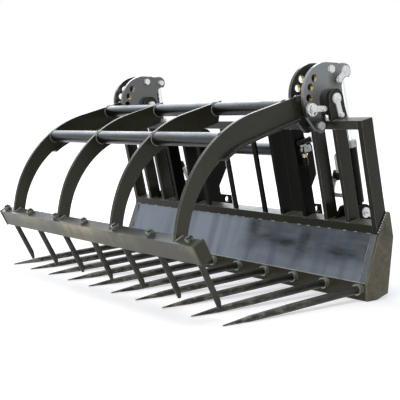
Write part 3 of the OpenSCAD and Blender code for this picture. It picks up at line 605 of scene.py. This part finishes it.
def circle(centre, radius, axes, steps):
    """Points round a centre, in the plane of two axes."""
    a, b = axes
    angles = (2 * math.pi * k / steps for k in range(steps))
    return [centre + radius * (math.cos(t) * a + math.sin(t) * b) for t in angles]


def join_rings(bm, rings, closed=False):
    """A skin over rings of points, with flat ends unless the last ring meets the first."""
    rings = [[bm.verts.new(p) for p in ring] for ring in rings]
    pairs = list(zip(rings, rings[1:]))
    if closed:
        pairs.append((rings[-1], rings[0]))
    for low, high in pairs:
        for k in range(len(low)):
            j = (k + 1) % len(low)
            bm.faces.new((low[k], low[j], high[j], high[k]))
    if not closed:
        bm.faces.new(rings[0][::-1])
        bm.faces.new(rings[-1])


def sweep(bm, points, radii, sides, closed=False):
    """A tube through the points, with a radius at each."""
    rings = []
    count = len(points)
    normal = None
    for i, p in enumerate(points):
        ahead = points[(i + 1) % count] if closed or i + 1 < count else p
        behind = points[i - 1] if closed or i > 0 else p
        tangent = (ahead - behind).normalized()
        if normal is None:
            normal = tangent.orthogonal().normalized()
        normal = (normal - tangent * normal.dot(tangent)).normalized()
        rings.append(circle(p, radii[i], (normal, tangent.cross(normal)), sides))
    join_rings(bm, rings, closed)


def lathe(bm, centre, axis, profile, sides=20):
    """A turned shape; the profile holds (distance along the axis, radius)."""
    axes = square_axes(axis)
    join_rings(bm, [circle(centre + axis * z, r, axes, sides) for z, r in profile])


HEX_CHAMFER = [(0, 0.88), (0.12, 1.0), (0.88, 1.0), (1, 0.88)]


def hexagon(bm, centre, axis, across_flats, length):
    """A nut body with both ends chamfered."""
    corner = across_flats / 2 / math.cos(math.radians(30))
    lathe(bm, centre, axis, [(z * length, r * corner) for z, r in HEX_CHAMFER], sides=6)


def resample(points, step):
    """Points along a polyline about a step apart."""
    out = [points[0]]
    for a, b in zip(points, points[1:]):
        n = max(1, round((b - a).length / step))
        out += [a.lerp(b, (i + 1) / n) for i in range(n)]
    return out


CORNER_STEPS = 6


def bent(points, radius):
    """A polyline whose corners are rounded."""
    out = [points[0]]
    for before, corner, after in zip(points, points[1:], points[2:]):
        start = corner + (before - corner).normalized() * radius
        end = corner + (after - corner).normalized() * radius
        for k in range(CORNER_STEPS + 1):
            t = k / CORNER_STEPS
            out.append(start.lerp(corner, t).lerp(corner.lerp(end, t), t))
    return out + [points[-1]]


# Welds

WELD_STEP = 2.2 * MM
WELD_SIDES = 6
RIPPLE = 5.5 * MM


def straight(start, end):
    """The path of a straight bead."""
    return [start, end], False


def round_path(centre, radius):
    """The closed path of a bead round a tube along X."""
    points = circle(centre, radius, square_axes(Vector((1, 0, 0))), steps=40)
    return points + [points[0]], True


def weld(name, paths, body, material, radius):
    """Rippled weld beads along polylines; a path is (points, closed)."""
    bm = bmesh.new()
    for points, closed in paths:
        line = resample(points, WELD_STEP)
        if closed:
            line = line[:-1]
        radii = []
        for i in range(len(line)):
            wave = abs(math.sin(math.pi * i * WELD_STEP / RIPPLE))
            radii.append(radius * (0.78 + 0.3 * wave + DICE.uniform(-0.06, 0.06)))
        if not closed:
            radii[0] = radii[-1] = radius * 0.4
        sweep(bm, line, radii, WELD_SIDES, closed)
    piece(name, bm, material, body, smooth=True)


def tube_welds(tube):
    """Beads where a cross tube meets the sides of the arms that face each other."""
    low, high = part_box(tube)
    centre = (low + high) / 2
    paths = []
    for x in ARM_PLACES:
        for s in SIDES:
            if abs(x + s * ARM_PITCH) < ARM_X + ARM_T:
                at = Vector((x + s * ARM_T / 2, centre.y, centre.z))
                paths.append(round_path(at, TUBE_R + 0.6 * MM))
    weld(f"{tube}_welds", paths, "grab", SEAM, radius=2.7 * MM)


def upright_welds():
    """Beads at the foot and head of each upright, along its sides and its front."""
    uprights = [(s * (ARM_X + e * EAR_MID), EAR_T, RAIL_D) for s in SIDES for e in SIDES]
    uprights += [(s * x, HITCH_T, RAIL_D) for s in SIDES for x in (HITCH_X, OUTER_HITCH_X)]
    uprights += [(x, SLIM_W, SLIM_D) for x in (-SLIM_PITCH, 0, SLIM_PITCH)]
    inset = 2 * MM
    paths = []
    for x, width, depth in uprights:
        for up in (RAIL_H, FRAME_H - RAIL_H):
            for s in SIDES:
                edge = x + s * width / 2
                paths.append(straight(leaned(edge, inset, up), leaned(edge, depth - inset, up)))
            paths.append(straight(leaned(x - width / 2, 0, up), leaned(x + width / 2, 0, up)))
    weld("upright_welds", paths, "frame", BLACK, radius=2.6 * MM)


STITCH_MM, STITCH_GAP_MM = (8, 22), (28, 60)
STITCH_START, STITCH_STOP = 20 * MM, 30 * MM


def panel_welds():
    """Stitches along the panel's top edge and a thin bead along its foot."""
    proud = 0.5 * MM
    paths = []
    x = -INNER_X + STITCH_START
    while x < INNER_X - STITCH_STOP:
        end = x + DICE.uniform(*STITCH_MM) * MM
        paths.append(straight(leaned(x, -proud, 0), leaned(end, -proud, 0)))
        x = end + DICE.uniform(*STITCH_GAP_MM) * MM
    weld("panel_top_welds", paths, "frame", BEAD, radius=2.2 * MM)
    foot = straight(on_panel(-INNER_X, 0, 0), on_panel(INNER_X, 0, 0))
    weld("panel_bottom_weld", [foot], "frame", BEAD, radius=2.0 * MM)


def arm_foot_welds():
    """Beads along both sides of each arm's foot, over the bar and down its back."""
    proud = 0.8 * MM
    paths = []
    for x in ARM_PLACES:
        for s in SIDES:
            side = x + s * (ARM_T / 2 + 0.5 * MM)
            over = [on_bar(side, back, proud) for back in (10 * MM, 25 * MM, BAR_D)]
            down = [on_bar(side, BAR_D + proud, -drop) for drop in (2 * MM, 21 * MM)]
            paths.append((over + down, False))
    weld("arm_foot_welds", paths, "grab", SEAM, radius=3.4 * MM)


def plate_pair_welds(name, off, thick, start, end, radius):
    """Beads on both faces of the plate pairs at the outer arms, between two places given as (back, up)."""
    proud = 0.4 * MM
    paths = []
    for s in SIDES:
        for e in SIDES:
            for face in SIDES:
                x = s * ARM_X + e * off + face * (thick / 2 + proud)
                paths.append(straight(leaned(x, *start), leaned(x, *end)))
    weld(name, paths, "frame", BLACK, radius)


TACKS = 9
TACK_START, TACK_END = 0.1, 0.85


def end_plate_beads():
    """Bare tacks down the slanting front edges of the end plates."""
    paths = []
    for s in SIDES:
        x = s * (HALF_W - END_PLATE_T / 2)
        top = END_PLATE_TOP + Vector((x, 0, 0))
        low = leaned(x, -2 * MM, 4 * MM)
        for k in range(TACKS):
            start, end = (top.lerp(low, (k + share) / TACKS) for share in (TACK_START, TACK_END))
            paths.append(straight(start, end))
    weld("end_plate_beads", paths, "frame", BEAD, radius=3.2 * MM)


SOCKET_BEAD_R = 19.5 * MM
SOCKET_BEAD_START, SOCKET_BEAD_END = math.radians(-30), math.radians(210)
SOCKET_BEAD_STEPS = 24


def socket_welds():
    """Beads over the upper part of each tine socket, on the face of the beam."""
    turn = SOCKET_BEAD_END - SOCKET_BEAD_START
    angles = [SOCKET_BEAD_START + turn * k / SOCKET_BEAD_STEPS for k in range(SOCKET_BEAD_STEPS + 1)]
    paths = []
    for i in range(TINE_COUNT):
        centre = Vector((-HALF_W + TINE_EDGE + i * TINE_PITCH, FOOT_Y - 0.5 * MM, TINE_H))
        points = [centre + SOCKET_BEAD_R * Vector((math.cos(t), 0, math.sin(t))) for t in angles]
        paths.append((points, False))
    weld("socket_welds", paths, "frame", BLACK, radius=2.2 * MM)


# Other pieces

STRIP_W, STRIP_T = 27 * MM, 3 * MM
STRIP_GAP, STRIP_EDGE = 0.2 * MM, 0.3 * MM
STRIP_OUTLINE = [
    (STRIP_EDGE, STRIP_GAP), (STRIP_EDGE, STRIP_T), (STRIP_W - MM, STRIP_T), (STRIP_W, STRIP_GAP),
]
STRIP_SHARES = (0.015, 0.985)
STRIP_BEAD_SHARES = [(0.04, 0.14), (0.2, 0.36), (0.45, 0.78)]


def panel_edge_strips():
    """Flat strips that cover the panel's side edges, with beads along their inner sides."""
    bm = bmesh.new()
    paths = []
    for s in SIDES:
        join_rings(bm, [
            [on_panel(s * (INNER_X - across), share, out) for across, out in STRIP_OUTLINE]
            for share in STRIP_SHARES
        ])
        x = s * (INNER_X - STRIP_W - 0.5 * MM)
        paths += [straight(on_panel(x, low, 0), on_panel(x, high, 0)) for low, high in STRIP_BEAD_SHARES]
    piece("panel_edge_strips", bm, STRIP, "frame")
    weld("strip_beads", paths, "frame", BEAD, radius=2.0 * MM)


NIPPLE = in_mm([
    (-1, 4.6), (2.2, 4.6), (2.6, 4.1), (2.6, 2.6), (4.4, 2.6), (5.4, 3.4), (6.6, 3.4), (7.8, 2.0), (8.4, 1.2),
])
PIVOT_PIN_END = EAR_IN + EAR_T + 9 * MM


def grease_nipples():
    """Nipples in the heads of the pivot and base pins."""
    bm = bmesh.new()
    for s in SIDES:
        outward = Vector((s, 0, 0))
        lathe(bm, leaned(s * (ARM_X + PIVOT_PIN_END), PIVOT_BACK, FRAME_H + PIVOT_H), outward, NIPPLE)
        lathe(bm, leaned(s * (ARM_X + BASE_PIN_END), BASE_BACK, BASE_UP), outward, NIPPLE)
    piece("grease_nipples", bm, ZINC, "frame")


# Lines beside the rams: a pipe from the high port and an elbow on the low one, each into a sleeve
LINE_STEP = 4 * MM
LINE_R, LINE_BEND = 6 * MM, 15 * MM
LINE_OUT, LINE_END = 72 * MM, 88 * MM
ELBOW_R, ELBOW_BEND = 9 * MM, 22 * MM
ELBOW_OUT, ELBOW_LEAN, ELBOW_UP = 120 * MM, 26 * MM, 62 * MM
FITTING_AF, FITTING_L = 24 * MM, 11 * MM
PIPE_NUT_AF, PIPE_NUT_L, PIPE_NUT_GAP = 19 * MM, 9 * MM, 0.5 * MM
SLEEVE_NUT_L, SLEEVE_NUT_UP = 12 * MM, 10 * MM
ELBOW_NUT_AF, ELBOW_NUT_L, ELBOW_NUT_DOWN = 25 * MM, 13 * MM, 8 * MM
SLEEVE_OVER, ELBOW_SLEEVE_UP = 1 * MM, 4 * MM
SLEEVE = in_mm([
    (0, 8.2), (1, 9.8), (4, 9.8), (5, 9.3), (7, 9.3), (8, 9.9), (11, 9.9), (12, 9.3), (14, 9.3), (15, 9.9),
    (18, 9.9), (19, 9.3), (22, 9.3), (24, 10.4), (27, 10.4), (28, 9.0),
])


def ram_line(side, s):
    """The pipe and elbow with their fittings beside one ram, and the two rubber sleeves."""
    body = f"barrel_{side}"
    inward = Vector((-s, 0, 0))
    in_fitting = PORT_FACE + FITTING_L - 2 * MM
    pipe_foot = PORT_LOW + LINE_END
    down = (on_ram(s, LINE_OUT, PORT_LOW) - on_ram(s, LINE_OUT, PORT_HIGH)).normalized()
    bm = bmesh.new()
    pipe = resample(bent([
        on_ram(s, in_fitting, PORT_HIGH), on_ram(s, LINE_OUT, PORT_HIGH), on_ram(s, LINE_OUT, pipe_foot),
    ], LINE_BEND), LINE_STEP)
    sweep(bm, pipe, [LINE_R] * len(pipe), sides=14)
    for z in (PORT_LOW, PORT_HIGH):
        hexagon(bm, on_ram(s, PORT_FACE, z), inward, FITTING_AF, FITTING_L)
    nut_face = PORT_FACE + FITTING_L + PIPE_NUT_GAP
    hexagon(bm, on_ram(s, nut_face, PORT_HIGH), inward, PIPE_NUT_AF, PIPE_NUT_L)
    hexagon(bm, on_ram(s, LINE_OUT, pipe_foot + SLEEVE_NUT_UP), down, PIPE_NUT_AF, SLEEVE_NUT_L)
    elbow = resample(bent([
        on_ram(s, in_fitting, PORT_LOW), on_ram(s, ELBOW_OUT, PORT_LOW),
        on_ram(s, ELBOW_OUT - ELBOW_LEAN, PORT_LOW + ELBOW_UP),
    ], ELBOW_BEND), LINE_STEP)
    sweep(bm, elbow, [ELBOW_R] * len(elbow), sides=16)
    rise = (elbow[-1] - elbow[-3]).normalized()
    hexagon(bm, elbow[-1] - rise * ELBOW_NUT_DOWN, rise, ELBOW_NUT_AF, ELBOW_NUT_L)
    obj = piece(f"ram_line_{side}", bm, PIPE, body)
    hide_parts(f"ram_pipes_{side}")
    bm = bmesh.new()
    lathe(bm, on_ram(s, LINE_OUT, pipe_foot - SLEEVE_OVER), down, SLEEVE)
    lathe(bm, elbow[-1] + rise * ELBOW_SLEEVE_UP, rise, SLEEVE)
    piece(f"ram_sleeves_{side}", bm, RAM, body)


# Tees on the hose couplings: heights up the frame, depths into it, and the clamp plate as (back, up)
COUPLING_X, COUPLING_BACK, COUPLING_FOOT = 419.5 * MM, 28 * MM, 251 * MM
TEE_FOOT, STEM_NUT_FOOT, TEE_MID = 290 * MM, 291 * MM, 308 * MM
TEE_FRONT, TEE_REAR = 6 * MM, 64 * MM
TEE_STEM = in_mm([(0, 7), (3, 9.5), (10, 9.5), (14, 8)])
TEE_RUN = in_mm([(0, 8), (2, 10.5), (10, 10.5), (12, 9.5), (46, 9.5), (48, 10.5), (58, 10.5)])
TEE_NUT_AF, TEE_NUT_L = 23 * MM, 10 * MM
STEM_NUT_AF, STEM_NUT_L = 22 * MM, 8 * MM
CLAMP_BOLT_X, CLAMP_BOLT_UP = 439.6 * MM, 281 * MM
CLAMP_BOLT_AF, CLAMP_BOLT_L = 15 * MM, 6 * MM
CLAMP_IN, CLAMP_OUT = 439.7 * MM, 443 * MM
CLAMP_OUTLINE = in_mm([
    (13, 272), (43, 272), (44, 274), (44, 290), (41, 296), (15, 296), (12, 290), (12, 274),
])


def couplings():
    """A tee on each coupling, with plated ends, a clamp plate on its tab and a sleeve below."""
    tees, ends, sleeves = bmesh.new(), bmesh.new(), bmesh.new()
    for s in SIDES:
        x = s * COUPLING_X
        foot = leaned(x, COUPLING_BACK, TEE_FOOT)
        front, rear = leaned(x, TEE_FRONT, TEE_MID), leaned(x, TEE_REAR, TEE_MID)
        up = (leaned(x, COUPLING_BACK, TEE_MID) - foot).normalized()
        back = (rear - front).normalized()
        lathe(tees, foot, up, TEE_STEM)
        lathe(tees, front, back, TEE_RUN)
        hexagon(ends, rear, back, TEE_NUT_AF, TEE_NUT_L)
        hexagon(ends, leaned(x, COUPLING_BACK, STEM_NUT_FOOT), up, STEM_NUT_AF, STEM_NUT_L)
        bolt = leaned(s * CLAMP_BOLT_X, COUPLING_BACK, CLAMP_BOLT_UP)
        hexagon(ends, bolt, Vector((s, 0, 0)), CLAMP_BOLT_AF, CLAMP_BOLT_L)
        join_rings(ends, [
            [leaned(s * face, *corner) for corner in CLAMP_OUTLINE] for face in (CLAMP_IN, CLAMP_OUT)
        ])
        lathe(sleeves, leaned(x, COUPLING_BACK, COUPLING_FOOT), -up, SLEEVE)
    piece("coupling_tees", tees, RAM, "frame")
    piece("coupling_ends", ends, ZINC, "frame")
    piece("coupling_sleeves", sleeves, RAM, "frame")


tube_welds("front_tube")
tube_welds("rear_tube")
upright_welds()
panel_welds()
arm_foot_welds()
plate_pair_welds("ear_welds", EAR_MID, EAR_T, (EAR_FRONT, FRAME_H), (EAR_BACK, FRAME_H), radius=2.8 * MM)
plate_pair_welds("lug_welds", LUG_OUT, LUG_T, (RAIL_D, -LUG_DROP), (RAIL_D, RAIL_H), radius=2.6 * MM)
end_plate_beads()
panel_edge_strips()
socket_welds()
grease_nipples()
ram_line("left", -1)
ram_line("right", 1)
couplings()


# Floor, light and camera

WHITE, COOL, WARM = (1.0, 1.0, 1.0), (0.88, 0.94, 1.0), (1.0, 0.96, 0.88)
FLOOR_GREY = (0.8, 0.8, 0.8)
FLOOR_HALF = 30.0
FLOOR_DROP = 0.6 * MM
FLOOR_NEAR, FLOOR_FAR = 1.4, 4.0
FLOOR_NEAR_LIFT = 0.42
SKY_COLOUR, SKY_STRENGTH = (0.86, 0.9, 1.0), 0.4


def background_rays(tree):
    """1 where a ray shows the background: to the camera, in a reflection or through glass."""
    rays = node(tree, "ShaderNodeLightPath").outputs
    seen = maths(tree, "MAXIMUM", rays["Is Camera Ray"], rays["Is Glossy Ray"])
    return maths(tree, "MAXIMUM", seen, rays["Is Transmission Ray"])


def floor_material():
    """A pale matt floor that turns white with the distance, so that its edge isn't seen."""
    m, tree = new_material("pale_floor")
    level = spread(tree, distance(tree, place(tree)), FLOOR_NEAR, FLOOR_FAR, FLOOR_NEAR_LIFT, 1.0)
    matt = node(tree, "ShaderNodeBsdfDiffuse", {"Color": solid(FLOOR_GREY)})
    lift = node(tree, "ShaderNodeEmission", {
        "Color": solid(WHITE), "Strength": times(tree, background_rays(tree), level),
    })
    both = node(tree, "ShaderNodeAddShader", {0: matt.outputs[0], 1: lift.outputs[0]})
    node(tree, "ShaderNodeOutputMaterial", {"Surface": both.outputs[0]})
    return m


def white_world():
    """White wherever the background shows, and a dim sky for all other light."""
    world = bpy.data.worlds.new("studio")
    bpy.context.scene.world = world
    world.use_nodes = True
    tree = world.node_tree
    tree.nodes.clear()
    seen = background_rays(tree)
    colour = blend(tree, seen, SKY_COLOUR, WHITE)
    strength = spread(tree, seen, 0.0, 1.0, SKY_STRENGTH, 1.0)
    back = node(tree, "ShaderNodeBackground", {"Color": colour, "Strength": strength})
    node(tree, "ShaderNodeOutputWorld", {"Surface": back.outputs[0]})


def area_light(name, at, target, size, power, colour):
    light = bpy.data.lights.new(name, "AREA")
    light.shape = "RECTANGLE"
    light.size, light.size_y = size
    light.energy = power
    light.color = colour
    obj = bpy.data.objects.new(name, light)
    bpy.context.scene.collection.objects.link(obj)
    obj.location = at
    obj.rotation_euler = (Vector(target) - Vector(at)).to_track_quat("-Z", "Y").to_euler()


bpy.ops.mesh.primitive_plane_add(size=2 * FLOOR_HALF, location=(0, 0, -FLOOR_DROP))
floor = bpy.context.object
floor.name = "floor"
dress(floor, floor_material())
white_world()

# Lights as place, target, size in metres, watts and colour. A wide soft box on the left stands for the
# open sky that the paint mirrors.
area_light("sky", (-3.7, 1.1, 2.5), (0, 0, 0.5), (4.6, 2.8), 125, COOL)
area_light("top", (0.4, -0.4, 3.4), (0, 0, 0.3), (2.6, 2.0), 50, WHITE)
area_light("front", (2.0, -3.6, 1.6), (0, 0, 0.3), (2.0, 1.6), 34, WARM)

# The camera looks from the front right, a little below the top of the grab
CAMERA_AT = Vector((2.6963, -2.1705 + FOOT_Y, 0.61745))
VIEW = Vector((-0.7937, 0.6009, -0.0941)).normalized()
LEVEL = Vector((0.6044, 0.7966, -0.0090))
RIGHT = (LEVEL - VIEW * LEVEL.dot(VIEW)).normalized()
UP = RIGHT.cross(VIEW)
LENS_MM, SENSOR_MM = 78.3, 36

lens = bpy.data.cameras.new("camera")
lens.lens = LENS_MM
lens.sensor_width = SENSOR_MM
camera = bpy.data.objects.new("camera", lens)
camera.matrix_world = Matrix.Translation(CAMERA_AT) @ Matrix((RIGHT, UP, -VIEW)).transposed().to_4x4()
bpy.context.scene.collection.objects.link(camera)
bpy.context.scene.camera = camera
bpy.context.scene.view_settings.view_transform = "Standard"
